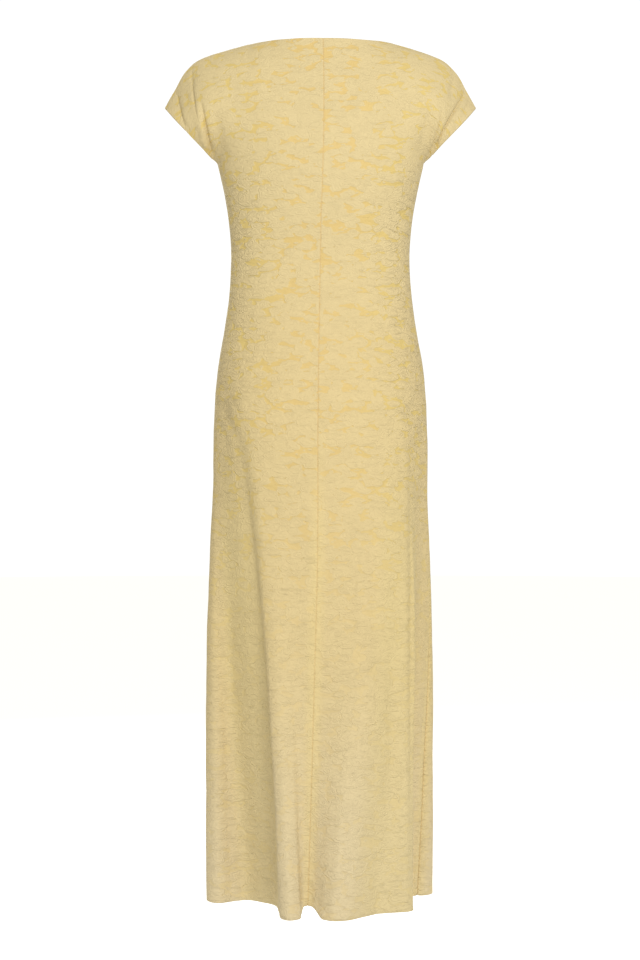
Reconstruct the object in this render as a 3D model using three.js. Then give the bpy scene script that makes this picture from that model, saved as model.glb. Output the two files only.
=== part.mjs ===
// An ankle-length jersey dress with cap sleeves cut in one with the body, filled out as when worn.
// Millimetres, +Z up. The front faces -Y, the back faces +Y, and the wearer's left side is +X.
// The origin lies between the shoulders, where the wearer holds the dress up.
import * as THREE from "three";

// The cloth wall and the gap between two pieces along their seam.
const WALL = 1.5;
const SEAM_GAP = 0.3;

// Heights of the hem, the top of the side seams, and the level below which the skirt falls free.
const HEM_Z = -1306;
const UNDERARM_Z = -170;
const HIP_Z = -630;

// How far the sleeve opening bulges to the back and to the front from its straight chord, and how far
// each half of it stands out past the chord: the back half hangs lower than the front half.
const SLEEVE_DEPTH = 42;
const BACK_SLEEVE_DROP = 4;
const FRONT_SLEEVE_DROP = -9;
// How much fuller than an ellipse each level section is, half way between side and centre.
const FULLNESS = 0.05;
// Above 1, a fold deepens slowly at first and faster towards the hem.
const FOLD_GROWTH = 1.15;

// The step by which the bodice's lean is measured below the underarm.
const TANGENT_STEP = 10;

// Divisions of each half: neck edge, shoulder and sleeve top; then rows up the skirt, bodice and yoke.
const NECK_COLUMNS = 8;
const SHOULDER_COLUMNS = 12;
const SKIRT_ROWS = 14;
const BODICE_ROWS = 12;
const YOKE_ROWS = 11;

// A share runs across a half piece, from 0 at its centre line to 1 at its side seam or sleeve hem.
// This one is where the neckline meets the shoulder seam.
const NECK_SHARE = 0.4;

// Level sections from the hem to the underarm. back and front are depths from the side seams' plane,
// and seamX is how far the centre back line strays from the middle.
const SECTIONS = [
  { z: -1306, halfWidth: 175.5, back: 118, front: 128, seamX: 5 },
  { z: -1100, halfWidth: 175.5, back: 117, front: 123, seamX: 5 },
  { z: -924, halfWidth: 175, back: 116, front: 118, seamX: 5 },
  { z: -800, halfWidth: 171, back: 116, front: 112, seamX: 4.5 },
  { z: -676, halfWidth: 165.5, back: 117, front: 106, seamX: 4 },
  { z: -582, halfWidth: 165.5, back: 119, front: 103, seamX: 4 },
  { z: -490, halfWidth: 159, back: 108, front: 101, seamX: 3 },
  { z: -427, halfWidth: 148, back: 91, front: 97, seamX: 2 },
  { z: -365, halfWidth: 140.5, back: 77, front: 94, seamX: 1 },
  { z: -310, halfWidth: 138.5, back: 76, front: 98, seamX: 0 },
  { z: -255, halfWidth: 143, back: 84, front: 112, seamX: -1 },
  { z: -210, halfWidth: 151, back: 90, front: 116, seamX: -3 },
  { z: -170, halfWidth: 160, back: 92, front: 110, seamX: -4 },
];

// The neck edge from the centre to the shoulder seam, at the back and at the front.
const NECK = [
  { share: 0, x: 0, back: 50, backZ: 12.5, front: 56, frontZ: -3 },
  { share: 0.14, x: 38, back: 47, backZ: 12.5, front: 52, frontZ: -1 },
  { share: 0.28, x: 77, back: 31, backZ: 13.5, front: 34, frontZ: 5 },
  { share: 0.36, x: 100, back: 13, backZ: 14.5, front: 14, frontZ: 12 },
  { share: NECK_SHARE, x: 112, back: 0, backZ: 14.5, front: 0, frontZ: 14.5 },
];

// The seam over the shoulder and down the top of the sleeve to its hem.
const SHOULDER = [
  { share: NECK_SHARE, x: 112, z: 14.5 },
  { share: 0.52, x: 146.5, z: 5 },
  { share: 0.61, x: 171, z: -3 },
  { share: 0.7, x: 196, z: -15 },
  { share: 0.755, x: 209, z: -28 },
  { share: 0.87, x: 227, z: -58.5 },
  { share: 1, x: 241, z: -83.5 },
];

// The lines down which the skirt's folds fall, each with its place at the hem and the height it starts from.
const BACK_LEFT_FOLDS = [
  { line: "centre back seam, in a narrow valley", share: 0, x: 19, y: 55, start: -780 },
  { line: "floor of the narrow valley", share: 0.03, x: 23, y: 59, start: -775 },
  { line: "side of the narrow valley", share: 0.12, x: 29, y: 98, start: -760 },
  { line: "narrow ridge, inner edge", share: 0.21, x: 33, y: 132, start: -720 },
  { line: "narrow ridge", share: 0.26, x: 45, y: 145, start: -700 },
  { line: "narrow ridge, outer edge", share: 0.31, x: 57, y: 137, start: -680 },
  { line: "steep side", share: 0.41, x: 63, y: 100, start: -640 },
  { line: "foot of the steep side", share: 0.51, x: 71, y: 65, start: -640 },
  { line: "slope", share: 0.61, x: 90, y: 40, start: -640 },
  { line: "wide valley", share: 0.7, x: 109, y: 16, start: -640 },
  { line: "lobe, inner side", share: 0.78, x: 128, y: 27, start: -640 },
  { line: "lobe", share: 0.86, x: 157, y: 37, start: -700 },
  { line: "outline", share: 0.94, x: 175.5, y: 19, start: -800 },
  { line: "side seam", share: 1, x: 170, y: -5, start: -900 },
];
const BACK_RIGHT_FOLDS = [
  { line: "centre back seam, in a narrow valley", share: 0, x: 19, y: 55, start: -780 },
  { line: "floor of the narrow valley", share: 0.025, x: 15, y: 58, start: -775 },
  { line: "side of the narrow valley", share: 0.08, x: 9, y: 80, start: -770 },
  { line: "broad ridge, inner edge", share: 0.18, x: -2, y: 124, start: -740 },
  { line: "broad ridge", share: 0.26, x: -20, y: 149, start: -700 },
  { line: "broad ridge, outer side", share: 0.33, x: -41, y: 144, start: -700 },
  { line: "broad panel", share: 0.4, x: -63, y: 125, start: -700 },
  { line: "broad panel, middle", share: 0.47, x: -88, y: 104, start: -700 },
  { line: "broad panel, outer side", share: 0.53, x: -112, y: 97, start: -660 },
  { line: "fold edge, inner side", share: 0.585, x: -133, y: 91, start: -630 },
  { line: "fold edge", share: 0.62, x: -141, y: 82, start: -620 },
  { line: "under the fold edge", share: 0.66, x: -137, y: 68, start: -630 },
  { line: "hidden valley, side", share: 0.75, x: -121, y: 40, start: -650 },
  { line: "hidden valley", share: 0.84, x: -123, y: 13, start: -680 },
  { line: "hidden valley, outer side", share: 0.92, x: -137, y: -3, start: -720 },
  { line: "side seam", share: 1, x: -151, y: -10, start: -780 },
];
const FRONT_LEFT_FOLDS = [
  { line: "centre front", share: 0, x: 8, y: -144, start: -700 },
  { line: "middle ridge", share: 0.12, x: 32, y: -150, start: -720 },
  { line: "middle ridge, outer side", share: 0.24, x: 56, y: -138, start: -700 },
  { line: "valley, inner side", share: 0.34, x: 74, y: -112, start: -680 },
  { line: "valley", share: 0.44, x: 92, y: -92, start: -660 },
  { line: "side ridge, inner side", share: 0.54, x: 112, y: -95, start: -680 },
  { line: "side ridge", share: 0.66, x: 136, y: -97, start: -700 },
  { line: "side ridge, outer side", share: 0.78, x: 155, y: -76, start: -740 },
  { line: "outline", share: 0.9, x: 169, y: -42, start: -800 },
  { line: "side seam", share: 1, x: 170, y: -5, start: -900 },
];
const FRONT_RIGHT_FOLDS = [
  { line: "centre front", share: 0, x: 8, y: -144, start: -700 },
  { line: "inner valley, side", share: 0.11, x: -15, y: -130, start: -700 },
  { line: "inner valley", share: 0.21, x: -36, y: -120, start: -680 },
  { line: "second ridge, inner side", share: 0.32, x: -61, y: -128, start: -690 },
  { line: "second ridge", share: 0.42, x: -83, y: -131, start: -700 },
  { line: "second ridge, outer side", share: 0.52, x: -103, y: -111, start: -680 },
  { line: "outer valley", share: 0.61, x: -119, y: -88, start: -660 },
  { line: "side ridge, inner side", share: 0.7, x: -140, y: -84, start: -700 },
  { line: "side ridge", share: 0.8, x: -160, y: -66, start: -740 },
  { line: "side ridge, outer side", share: 0.88, x: -173, y: -42, start: -780 },
  { line: "outline", share: 0.94, x: -174.5, y: -22, start: -800 },
  { line: "strip beside the side seam", share: 0.97, x: -165, y: -13, start: -800 },
  { line: "side seam", share: 1, x: -151, y: -10, start: -780 },
];

// Drape troughs from the shoulders to the underarms, seen from the back (face 1) or the front (face -1):
// each runs between two points, as deep and as wide to each side as its row says.
const TROUGHS = [
  { face: 1, fromX: 180, fromZ: -79, toX: 166, toZ: -158, depth: 8, reach: 11 },
  { face: 1, fromX: 217, fromZ: -57, toX: 196, toZ: -128, depth: 4, reach: 9 },
  { face: 1, fromX: -216, fromZ: -57, toX: -172, toZ: -152, depth: 7, reach: 9 },
  { face: 1, fromX: -182, fromZ: -93, toX: -165, toZ: -138, depth: 4, reach: 9 },
  { face: -1, fromX: 205, fromZ: -60, toX: 168, toZ: -155, depth: 6, reach: 11 },
  { face: -1, fromX: -204, fromZ: -62, toX: -168, toZ: -154, depth: 6, reach: 11 },
];

const JERSEY_YELLOW = "#dfcc96";

const lerp = THREE.MathUtils.lerp;
const clamp = THREE.MathUtils.clamp;
const smooth = THREE.MathUtils.smoothstep;

// The value of one column of a table where its key column equals at, on a smooth curve through the rows.
function follow(rows, key, column, at) {
  const last = rows.length - 1;
  let i = 0;
  while (i < last - 1 && at > rows[i + 1][key]) i += 1;
  const step = (k) => rows[k + 1][key] - rows[k][key];
  const slope = (k) => (rows[k + 1][column] - rows[k][column]) / step(k);
  const tangent = (k) => {
    if (k === 0) return slope(0);
    if (k === last) return slope(last - 1);
    return (step(k) * slope(k - 1) + step(k - 1) * slope(k)) / (step(k - 1) + step(k));
  };
  const t = clamp((at - rows[i][key]) / step(i), 0, 1);
  const rise = rows[i + 1][column] - rows[i][column];
  const bend = t * t * (3 - 2 * t);
  const leave = t * (1 - t) * (1 - t) * tangent(i);
  const arrive = t * t * (t - 1) * tangent(i + 1);
  return rows[i][column] + rise * bend + step(i) * (leave + arrive);
}

// A half piece: side is 1 on the wearer's left and -1 on the right, face is 1 at the back and -1 at the front.
const HALVES = {
  backLeft: { side: 1, face: 1, folds: BACK_LEFT_FOLDS },
  backRight: { side: -1, face: 1, folds: BACK_RIGHT_FOLDS },
  frontLeft: { side: 1, face: -1, folds: FRONT_LEFT_FOLDS },
  frontRight: { side: -1, face: -1, folds: FRONT_RIGHT_FOLDS },
};

// A point of the smooth body form at a height, before any fold.
function formPoint(half, share, z) {
  const angle = (share * Math.PI) / 2;
  const full = 1 + FULLNESS * Math.sin(2 * angle) ** 2;
  const depth = follow(SECTIONS, "z", half.face > 0 ? "back" : "front", z);
  const stray = half.face > 0 ? follow(SECTIONS, "z", "seamX", z) * (1 - share) ** 2 : 0;
  const x = half.side * follow(SECTIONS, "z", "halfWidth", z) * Math.sin(angle) * full + stray;
  const y = half.face * depth * Math.cos(angle) * full;
  return new THREE.Vector3(x, y, z);
}

// A point of the body and skirt: the form, drawn towards the hem's fold lines as it falls.
function levelPoint(half, share, z) {
  const point = formPoint(half, share, z);
  const start = follow(half.folds, "share", "start", share);
  const fallen = clamp((start - z) / (start - HEM_Z), 0, 1) ** FOLD_GROWTH;
  const hem = formPoint(half, share, HEM_Z);
  point.x += fallen * (follow(half.folds, "share", "x", share) - hem.x);
  point.y += fallen * (follow(half.folds, "share", "y", share) - hem.y);
  return point;
}

// A point of the top edge: the neckline, then the shoulder seam and the top of the sleeve.
function topPoint(half, share) {
  if (share >= NECK_SHARE) {
    const x = half.side * follow(SHOULDER, "share", "x", share);
    return new THREE.Vector3(x, 0, follow(SHOULDER, "share", "z", share));
  }
  const name = half.face > 0 ? "back" : "front";
  const stray = half.face > 0 ? follow(SECTIONS, "z", "seamX", UNDERARM_Z) * (1 - share) ** 2 : 0;
  const x = half.side * follow(NECK, "share", "x", share) + stray;
  const y = half.face * follow(NECK, "share", name, share);
  return new THREE.Vector3(x, y, follow(NECK, "share", name + "Z", share));
}

// How far a drape trough draws the cloth in at a place seen from the back or the front.
function troughDepth(face, x, z) {
  let depth = 0;
  for (const trough of TROUGHS) {
    if (trough.face !== face) continue;
    const runX = trough.toX - trough.fromX;
    const runZ = trough.toZ - trough.fromZ;
    const along = ((x - trough.fromX) * runX + (z - trough.fromZ) * runZ) / (runX ** 2 + runZ ** 2);
    const t = clamp(along, 0, 1);
    const away = Math.hypot(x - trough.fromX - t * runX, z - trough.fromZ - t * runZ);
    depth += trough.depth * Math.exp(-((away / trough.reach) ** 2));
  }
  return depth;
}

// A point of the yoke and sleeve: turn runs from 0 at the underarm level to 1 at the top edge, and the
// cloth rounds over the shoulder there. Beside the sleeve hem it follows the opening's oval.
function yokePoint(half, share, turn) {
  const w = (1 - Math.cos(Math.PI * turn)) / 2;
  const low = levelPoint(half, share, UNDERARM_Z);
  const below = levelPoint(half, share, UNDERARM_Z - TANGENT_STEP);
  const high = topPoint(half, share);
  const straight = share ** 6;
  const lean = low.clone().sub(below).divideScalar(TANGENT_STEP);
  const bendX = lerp(low.x + (lean.x * (high.z - low.z)) / 2, (low.x + high.x) / 2, straight);
  const drop = (half.face > 0 ? BACK_SLEEVE_DROP : FRONT_SLEEVE_DROP) * straight * 4 * w * (1 - w);
  const x = (1 - w) ** 2 * low.x + 2 * w * (1 - w) * bendX + w ** 2 * high.x + half.side * drop * Math.SQRT1_2;
  const z = lerp(low.z, high.z, w) - drop * Math.SQRT1_2;
  const onShoulder = smooth(share, 0.12, 0.45);
  const carried = (1 - w ** lerp(1.6, 2.4, onShoulder)) ** lerp(1, 0.5, onShoulder);
  const sleeve = smooth(share, 0.4, 1) * (4 * w * (1 - w)) ** lerp(2, 0.5, straight);
  const drawn = troughDepth(half.face, x, z) * 4 * w * (1 - w);
  const lowY = low.y + lean.y * (z - low.z) * (1 - w);
  const y = lerp(high.y, lowY, carried) + half.face * (SLEEVE_DEPTH * sleeve - drawn);
  return new THREE.Vector3(x, y, z);
}

// The shares of the columns across a half piece, from its centre line outwards.
function columnShares() {
  const shares = [];
  for (let i = 0; i < NECK_COLUMNS; i += 1) shares.push((NECK_SHARE * i) / NECK_COLUMNS);
  for (let i = 0; i <= SHOULDER_COLUMNS; i += 1) {
    shares.push(lerp(NECK_SHARE, 1, i / SHOULDER_COLUMNS));
  }
  return shares;
}

// The rows up a piece, from the hem: each gives the point of a half piece for a share.
function rowMakers() {
  const rows = [];
  const level = (z) => rows.push((half, share) => levelPoint(half, share, z));
  for (let i = 0; i < SKIRT_ROWS; i += 1) level(lerp(HEM_Z, HIP_Z, i / SKIRT_ROWS));
  for (let i = 0; i < BODICE_ROWS; i += 1) level(lerp(HIP_Z, UNDERARM_Z, i / BODICE_ROWS));
  for (let i = 0; i <= YOKE_ROWS; i += 1) {
    rows.push((half, share) => yokePoint(half, share, i / YOKE_ROWS));
  }
  return rows;
}

// The outer surface of a piece as rows of points. Each column is a half piece and a share, in the order
// that turns the faces outwards.
function surfaceOf(columns) {
  return rowMakers().map((row) => columns.map(({ half, share }) => row(half, share)));
}

const columnsOf = (half) => columnShares().map((share) => ({ half, share }));

// Columns in order round the body, seen from above and turning from the back to the left side.
const PIECES = {
  back_left: columnsOf(HALVES.backLeft),
  back_right: columnsOf(HALVES.backRight).reverse(),
  front: [...columnsOf(HALVES.frontLeft).reverse(), ...columnsOf(HALVES.frontRight).slice(1)],
};

// One name for a place, so that pieces which meet there share its outward direction.
const placeName = (point) => point.toArray().map((c) => Math.round(c * 100)).join(" ");

// Adds each small face's direction to the places at its corners.
function gatherNormals(rows, normals) {
  const add = (a, b, c) => {
    const across = new THREE.Vector3().subVectors(b, a);
    const normal = new THREE.Vector3().subVectors(c, a).cross(across).negate();
    for (const corner of [a, b, c]) {
      const name = placeName(corner);
      if (!normals.has(name)) normals.set(name, new THREE.Vector3());
      normals.get(name).add(normal);
    }
  };
  for (let i = 0; i + 1 < rows.length; i += 1) {
    for (let j = 0; j + 1 < rows[i].length; j += 1) {
      add(rows[i][j], rows[i + 1][j], rows[i + 1][j + 1]);
      add(rows[i][j], rows[i + 1][j + 1], rows[i][j + 1]);
    }
  }
}

// Whether a point of the grid lies on a seam, and the neighbour that it draws back towards.
function seamNeighbours(name, columns, rowCount, i, j) {
  const lastColumn = columns.length - 1;
  const found = [];
  const below = i <= rowCount - 1 - YOKE_ROWS;
  const centreSeam = name !== "front" && columns[j].share === 0;
  const sideSeam = columns[j].share === 1 && below;
  if (centreSeam || sideSeam) found.push([i, j === lastColumn ? j - 1 : j + 1]);
  if (i === rowCount - 1 && columns[j].share >= NECK_SHARE) found.push([i - 1, j]);
  return found;
}

// Draws the piece's seam edges back along the cloth by half the seam gap.
function drawnBack(name, columns, rows, outwards) {
  return rows.map((row, i) =>
    row.map((point, j) => {
      const moved = point.clone();
      for (const [ni, nj] of seamNeighbours(name, columns, rows.length, i, j)) {
        const inward = new THREE.Vector3().subVectors(rows[ni][nj], point);
        inward.projectOnPlane(outwards[i][j]).normalize();
        moved.addScaledVector(inward, SEAM_GAP / 2);
      }
      return moved;
    }),
  );
}

// The closed wall of a piece: its outer surface, its inner one, and the rim that joins them.
function wallGeometry(outer, inner) {
  const positions = [];
  const indices = [];
  const width = outer[0].length;
  const layer = outer.length * width;
  for (const rows of [outer, inner]) {
    for (const row of rows) for (const point of row) positions.push(...point.toArray());
  }
  const at = (i, j) => i * width + j;
  const quad = (a, b, c, d) => indices.push(a, b, c, a, c, d);
  for (let i = 0; i + 1 < outer.length; i += 1) {
    for (let j = 0; j + 1 < width; j += 1) {
      const corners = [at(i, j), at(i, j + 1), at(i + 1, j + 1), at(i + 1, j)].reverse();
      quad(...corners);
      quad(...corners.reverse().map((k) => k + layer));
    }
  }
  const border = [];
  for (let j = 0; j + 1 < width; j += 1) border.push(at(0, j));
  for (let i = 0; i + 1 < outer.length; i += 1) border.push(at(i, width - 1));
  for (let j = width - 1; j > 0; j -= 1) border.push(at(outer.length - 1, j));
  for (let i = outer.length - 1; i > 0; i -= 1) border.push(at(i, 0));
  border.forEach((a, k) => {
    const b = border[(k + 1) % border.length];
    quad(a, b, b + layer, a + layer);
  });
  const geometry = new THREE.BufferGeometry();
  geometry.setAttribute("position", new THREE.Float32BufferAttribute(positions, 3));
  geometry.setIndex(indices);
  geometry.computeVertexNormals();
  return geometry;
}

const surfaces = {};
const normals = new Map();
for (const [name, columns] of Object.entries(PIECES)) {
  surfaces[name] = surfaceOf(columns);
  gatherNormals(surfaces[name], normals);
}

const dress = new THREE.Group();
dress.name = "jersey_dress";
for (const [name, columns] of Object.entries(PIECES)) {
  const outwards = surfaces[name].map((row) =>
    row.map((point) => normals.get(placeName(point)).clone().normalize()),
  );
  const outer = drawnBack(name, columns, surfaces[name], outwards);
  const inner = outer.map((row, i) =>
    row.map((point, j) => point.clone().addScaledVector(outwards[i][j], -WALL)),
  );
  const jersey = new THREE.MeshStandardMaterial({ color: JERSEY_YELLOW, roughness: 0.75, metalness: 0 });
  const piece = new THREE.Mesh(wallGeometry(outer, inner), jersey);
  piece.name = name;
  dress.add(piece);
}

export default dress;
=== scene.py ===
import math

import bpy
import numpy as np
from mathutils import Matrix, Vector, noise


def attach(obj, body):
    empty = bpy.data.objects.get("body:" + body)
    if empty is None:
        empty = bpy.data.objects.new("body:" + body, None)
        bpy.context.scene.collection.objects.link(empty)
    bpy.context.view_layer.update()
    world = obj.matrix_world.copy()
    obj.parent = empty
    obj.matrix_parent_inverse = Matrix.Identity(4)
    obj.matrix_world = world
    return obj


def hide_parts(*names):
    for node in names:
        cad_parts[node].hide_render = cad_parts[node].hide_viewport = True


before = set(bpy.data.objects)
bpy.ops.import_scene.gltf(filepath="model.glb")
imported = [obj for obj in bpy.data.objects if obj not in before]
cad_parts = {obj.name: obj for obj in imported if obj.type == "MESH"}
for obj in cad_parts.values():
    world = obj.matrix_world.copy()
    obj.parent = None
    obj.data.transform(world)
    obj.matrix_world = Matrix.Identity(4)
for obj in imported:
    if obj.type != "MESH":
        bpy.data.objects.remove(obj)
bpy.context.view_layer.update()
scene = bpy.context.scene

# The dress's own sizes, as in its construction. The skirt begins between two heights along the cloth, taken
# from the underarm.
HEM_Z = -1.306
UNDERARM_Z = -0.170
HIP_Z = -0.630
SLEEVE_DEPTH = 0.042
BACK_SLEEVE_DROP = 0.004
FRONT_SLEEVE_DROP = -0.009
FULLNESS = 0.05
SKIRT_BEGINS = (-0.35, -0.65)
FOLD_GROWTH = 1.15
CENTRE_RISE = 0.015
RISE_ENDS = (0.02, 0.16)
NECK_SHARE = 0.4

# The yoke and sleeve. Places across a piece are shares, from 0 at its centre line to 1 at its side.
# Each pair of powers holds on the neck's side and on the shoulder, or at the centre line and at the side.
SHOULDER_BEGINS = (0.12, 0.45)
SLEEVE_BEGINS = (NECK_SHARE, 1)
LEAVES_CHEST = (1.6, 2.4)
CHEST_ROUNDING = (1, 0.5)
SLEEVE_ROUNDING = (2, 0.75)
STRAIGHT_NEAR_SIDE = 6
TANGENT_STEP = 0.010

# The cloth: its thickness, and the depth and width of the turned edges.
CLOTH = 0.0010
TURNED_CLOTH = 0.0022
TURNED_HEM = 0.022
TURNED_EDGE = 0.010

# The turned edge's step, in its own widths, and the least distance from a seam of a rim that is rounded.
TURNED_STEP = (0.85, 1.05)
FREE_RIM = 0.0004

# The groove that a seam draws in the cloth. The skirt's side seams lie in a deeper one.
GROOVE_DEPTH = 0.0003
GROOVE_REACH = 0.0018
SIDE_GROOVE_DEPTH = 0.0016
SIDE_GROOVE_REACH = 0.0040
SIDE_GROOVE_SHARES = (0.9, 1)

# Creases fade out this near to a seam. At the sleeve hem, within its reach, this share of them is left.
SEAM_HOLD = 0.006
SLEEVE_HEM_SHARE = 0.25
SLEEVE_HEM_REACH = 0.8

# How finely the cloth is divided.
SKIRT_ROWS = 125
BODICE_ROWS = 92
YOKE_ROWS = 128
YOKE_CROWDING = 0.35
SLEEVE_SHARE = 0.72
UNDERARM_ROW = SKIRT_ROWS + BODICE_ROWS
BACK_COLUMNS = (42, 28, 50)
FRONT_COLUMNS = (22, 16, 28)
SEAM_SHARES = (0.0025, 0.006, 0.0115)
SEAM_CLEARANCE = 1.4 * SEAM_SHARES[-1]

# A rounding error that no comparison should trip over, and a distance farther than any on the dress.
TINY = 1e-9
FAR = 9.0


class Table:
    """Rows under named columns. Each column reads as a smooth curve along the first one."""

    def __init__(self, names, *rows):
        names = names.split()
        values = np.array([row[-len(names):] for row in rows], float).T
        self.columns = dict(zip(names, values))
        self.key = self.columns[names[0]]

    def follow(self, name, at):
        at = np.asarray(at, float)
        values = self.columns[name]
        step = np.diff(self.key)
        slope = np.diff(values) / step
        middle = (step[1:] * slope[:-1] + step[:-1] * slope[1:]) / (step[:-1] + step[1:])
        tangent = np.concatenate((slope[:1], middle, slope[-1:]))
        i = np.clip(np.searchsorted(self.key, at) - 1, 0, len(step) - 1)
        t = np.clip((at - self.key[i]) / step[i], 0, 1)
        rise = (values[i + 1] - values[i]) * t * t * (3 - 2 * t)
        leave = t * (1 - t) ** 2 * tangent[i]
        arrive = t * t * (t - 1) * tangent[i + 1]
        return values[i] + rise + step[i] * (leave + arrive)


SECTIONS = Table(
    "z half_width back front seam_x",
    (-1.306, 0.1755, 0.118, 0.128, 0.005),
    (-1.100, 0.1755, 0.117, 0.123, 0.005),
    (-0.924, 0.175, 0.116, 0.118, 0.005),
    (-0.800, 0.171, 0.116, 0.112, 0.0045),
    (-0.676, 0.1655, 0.117, 0.106, 0.004),
    (-0.582, 0.1655, 0.119, 0.103, 0.004),
    (-0.490, 0.159, 0.108, 0.101, 0.003),
    (-0.427, 0.148, 0.091, 0.097, 0.002),
    (-0.365, 0.1405, 0.077, 0.094, 0.001),
    (-0.310, 0.1385, 0.076, 0.098, 0.0),
    (-0.255, 0.143, 0.084, 0.112, -0.001),
    (-0.210, 0.151, 0.090, 0.116, -0.003),
    (-0.170, 0.160, 0.092, 0.110, -0.004),
)

NECK = Table(
    "share x back back_z front front_z",
    (0, 0, 0.050, 0.0125, 0.056, -0.003),
    (0.14, 0.038, 0.047, 0.0125, 0.052, -0.001),
    (0.28, 0.077, 0.031, 0.0135, 0.034, 0.005),
    (0.36, 0.100, 0.013, 0.0145, 0.014, 0.012),
    (NECK_SHARE, 0.112, 0, 0.0145, 0, 0.0145),
)

SHOULDER = Table(
    "share x z",
    (NECK_SHARE, 0.112, 0.0145),
    (0.52, 0.1465, 0.005),
    (0.61, 0.171, -0.003),
    (0.70, 0.196, -0.015),
    (0.755, 0.209, -0.028),
    (0.87, 0.227, -0.0585),
    (1, 0.241, -0.0835),
)

# The skirt's fold lines. Each has its share of the half piece, its place at the hem, and the height from
# which it falls.
BACK_LEFT_FOLDS = Table(
    "share x y start",
    ("centre back seam", 0, 0.019, 0.118, -0.780),
    ("floor of the narrow valley", 0.03, 0.023, 0.118, -0.775),
    ("side of the narrow valley", 0.12, 0.0285, 0.123, -0.760),
    ("narrow ridge, inner edge", 0.21, 0.0325, 0.138, -0.720),
    ("narrow ridge", 0.26, 0.045, 0.145, -0.700),
    ("narrow ridge, outer edge", 0.31, 0.057, 0.137, -0.680),
    ("steep side", 0.41, 0.0635, 0.098, -0.590),
    ("foot of the steep side", 0.51, 0.0735, 0.059, -0.540),
    ("slope", 0.61, 0.092, 0.032, -0.510),
    ("wide valley", 0.70, 0.112, 0.019, -0.500),
    ("lobe, inner side", 0.78, 0.131, 0.025, -0.510),
    ("lobe", 0.86, 0.157, 0.037, -0.530),
    ("outline", 0.94, 0.1755, 0.019, -0.700),
    ("side seam", 1, 0.170, -0.005, -0.880),
)
BACK_RIGHT_FOLDS = Table(
    "share x y start",
    ("centre back seam", 0, 0.019, 0.118, -0.780),
    ("floor of the narrow valley", 0.025, 0.015, 0.119, -0.775),
    ("side of the narrow valley", 0.08, 0.007, 0.126, -0.770),
    ("broad ridge, inner edge", 0.18, -0.006, 0.141, -0.740),
    ("broad ridge", 0.26, -0.020, 0.149, -0.700),
    ("broad ridge, outer side", 0.33, -0.041, 0.144, -0.700),
    ("broad panel", 0.40, -0.063, 0.125, -0.700),
    ("broad panel, middle", 0.47, -0.088, 0.104, -0.700),
    ("broad panel, outer side", 0.53, -0.112, 0.097, -0.660),
    ("fold edge, inner side", 0.585, -0.133, 0.091, -0.580),
    ("fold edge", 0.62, -0.141, 0.082, -0.540),
    ("under the fold edge", 0.66, -0.137, 0.068, -0.520),
    ("hidden valley, side", 0.75, -0.121, 0.040, -0.540),
    ("hidden valley", 0.84, -0.123, 0.013, -0.600),
    ("hidden valley, outer side", 0.92, -0.137, -0.003, -0.700),
    ("side seam", 1, -0.151, -0.010, -0.780),
)
FRONT_LEFT_FOLDS = Table(
    "share x y start",
    ("centre front", 0, 0.008, -0.144, -0.700),
    ("middle ridge", 0.12, 0.032, -0.150, -0.720),
    ("middle ridge, outer side", 0.24, 0.056, -0.138, -0.700),
    ("valley, inner side", 0.34, 0.074, -0.112, -0.680),
    ("valley", 0.44, 0.092, -0.092, -0.660),
    ("side ridge, inner side", 0.54, 0.112, -0.095, -0.680),
    ("side ridge", 0.66, 0.136, -0.097, -0.700),
    ("side ridge, outer side", 0.78, 0.155, -0.076, -0.740),
    ("outline", 0.90, 0.169, -0.042, -0.800),
    ("side seam", 1, 0.170, -0.005, -0.900),
)
FRONT_RIGHT_FOLDS = Table(
    "share x y start",
    ("centre front", 0, 0.008, -0.144, -0.700),
    ("inner valley, side", 0.11, -0.015, -0.130, -0.700),
    ("inner valley", 0.21, -0.036, -0.120, -0.680),
    ("second ridge, inner side", 0.32, -0.061, -0.128, -0.690),
    ("second ridge", 0.42, -0.083, -0.131, -0.700),
    ("second ridge, outer side", 0.52, -0.103, -0.111, -0.680),
    ("outer valley", 0.61, -0.119, -0.088, -0.660),
    ("side ridge, inner side", 0.70, -0.140, -0.084, -0.700),
    ("side ridge", 0.80, -0.160, -0.066, -0.740),
    ("side ridge, outer side", 0.88, -0.173, -0.042, -0.780),
    ("outline", 0.94, -0.1745, -0.022, -0.800),
    ("strip beside the side seam", 0.97, -0.165, -0.013, -0.800),
    ("side seam", 1, -0.151, -0.010, -0.780),
)

BACK, FRONT = 1, -1
LEFT, RIGHT = 1, -1

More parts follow.
